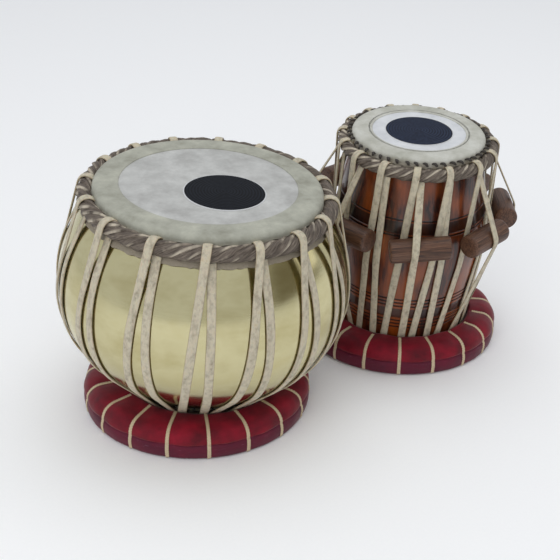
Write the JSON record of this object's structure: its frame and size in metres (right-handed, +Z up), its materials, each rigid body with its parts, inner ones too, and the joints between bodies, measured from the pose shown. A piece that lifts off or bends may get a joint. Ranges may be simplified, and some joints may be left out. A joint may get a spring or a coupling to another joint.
{
  "type": "tabla",
  "caption": "Pair of hand drums: a brass bowl and a wooden barrel with laced skin heads, black centre patches, tuning dowels and ring cushions.",
  "frame": {"origin": "on the floor, under the middle of the box round the whole pair", "axes": "+X from the brass bayan to the wooden dayan, -Y towards the player, +Z up"},
  "size_m": [0.5358, 0.2973, 0.2566],
  "materials": {
    "polished_brass": "spun and polished, fine lines round the bowl",
    "hide_lining": "rawhide",
    "goat_skin": "dressed goat skin, smooth and matt",
    "hide_edge": "thicker skin, matt with a faint nap",
    "syahi_paste": "dried black paste, rubbed smooth in rings",
    "braided_hide": "twisted rawhide strands",
    "twisted_hide": "twisted rawhide",
    "rawhide_strap": "cut rawhide, mottled",
    "coiled_fibre": "coiled plant fibre",
    "cushion_cloth": "plain-woven cotton with a slight sheen",
    "base_cloth": "plain-woven cotton",
    "gold_braid": "narrow metallic braid",
    "dark_rosewood": "turned and varnished",
    "dowel_wood": "sawn and sanded, satin"
  },
  "bodies": {
    "bayan_ring": {"bayan_cushion_core": "coiled_fibre", "bayan_cushion_cover": "cushion_cloth", "bayan_cushion_base": "base_cloth", "bayan_cushion_braids": "gold_braid"},
    "bayan": {"bayan_shell": "polished_brass", "bayan_lining_ring": "hide_lining", "bayan_head_skin": "goat_skin", "bayan_chati": "hide_edge", "bayan_syahi": "syahi_paste", "bayan_gajra": "braided_hide", "bayan_foot_ring": "twisted_hide", "bayan_straps": "rawhide_strap"},
    "dayan_ring": {"dayan_cushion_core": "coiled_fibre", "dayan_cushion_cover": "cushion_cloth", "dayan_cushion_base": "base_cloth", "dayan_cushion_braids": "gold_braid"},
    "dayan": {"dayan_shell": "dark_rosewood", "dayan_lining_ring": "hide_lining", "dayan_head_skin": "goat_skin", "dayan_chati": "hide_edge", "dayan_syahi": "syahi_paste", "dayan_gajra": "braided_hide", "dayan_foot_ring": "twisted_hide", "dayan_straps": "rawhide_strap", "strap_over_gatta_1": "rawhide_strap", "strap_over_gatta_2": "rawhide_strap", "strap_over_gatta_3": "rawhide_strap", "strap_over_gatta_4": "rawhide_strap", "strap_over_gatta_5": "rawhide_strap", "strap_over_gatta_6": "rawhide_strap", "strap_over_gatta_7": "rawhide_strap", "strap_over_gatta_8": "rawhide_strap"},
    "dowel_1": {"gatta_1": "dowel_wood"},
    "dowel_2": {"gatta_2": "dowel_wood"},
    "dowel_3": {"gatta_3": "dowel_wood"},
    "dowel_4": {"gatta_4": "dowel_wood"},
    "dowel_5": {"gatta_5": "dowel_wood"},
    "dowel_6": {"gatta_6": "dowel_wood"},
    "dowel_7": {"gatta_7": "dowel_wood"},
    "dowel_8": {"gatta_8": "dowel_wood"}
  },
  "joints": [
    {"name": "bayan_lift", "type": "slide", "parent": "bayan_ring", "child": "bayan", "axis": [0.0399, -0.0469, 0.9981], "range_m": [0, 0.15]},
    {"name": "dayan_spacing", "type": "slide", "parent": "bayan_ring", "child": "dayan_ring", "axis": [1, 0, 0], "range_m": [0, 0.1]},
    {"name": "dayan_lift", "type": "slide", "parent": "dayan_ring", "child": "dayan", "axis": [-0.005, -0.0609, 0.9981], "range_m": [0, 0.15]},
    {"name": "gatta_1_slide", "type": "slide", "parent": "dayan", "child": "dowel_1", "axis": [-0.005, -0.0609, 0.9981], "range_m": [-0.03, 0.03], "deforming": ["strap_over_gatta_1"]},
    {"name": "gatta_2_slide", "type": "slide", "parent": "dayan", "child": "dowel_2", "axis": [-0.005, -0.0609, 0.9981], "range_m": [-0.03, 0.03], "deforming": ["strap_over_gatta_2"]},
    {"name": "gatta_3_slide", "type": "slide", "parent": "dayan", "child": "dowel_3", "axis": [-0.005, -0.0609, 0.9981], "range_m": [-0.03, 0.03], "deforming": ["strap_over_gatta_3"]},
    {"name": "gatta_4_slide", "type": "slide", "parent": "dayan", "child": "dowel_4", "axis": [-0.005, -0.0609, 0.9981], "range_m": [-0.03, 0.03], "deforming": ["strap_over_gatta_4"]},
    {"name": "gatta_5_slide", "type": "slide", "parent": "dayan", "child": "dowel_5", "axis": [-0.005, -0.0609, 0.9981], "range_m": [-0.03, 0.03], "deforming": ["strap_over_gatta_5"]},
    {"name": "gatta_6_slide", "type": "slide", "parent": "dayan", "child": "dowel_6", "axis": [-0.005, -0.0609, 0.9981], "range_m": [-0.03, 0.03], "deforming": ["strap_over_gatta_6"]},
    {"name": "gatta_7_slide", "type": "slide", "parent": "dayan", "child": "dowel_7", "axis": [-0.005, -0.0609, 0.9981], "range_m": [-0.03, 0.03], "deforming": ["strap_over_gatta_7"]},
    {"name": "gatta_8_slide", "type": "slide", "parent": "dayan", "child": "dowel_8", "axis": [-0.005, -0.0609, 0.9981], "range_m": [-0.03, 0.03], "deforming": ["strap_over_gatta_8"]}
  ]
}
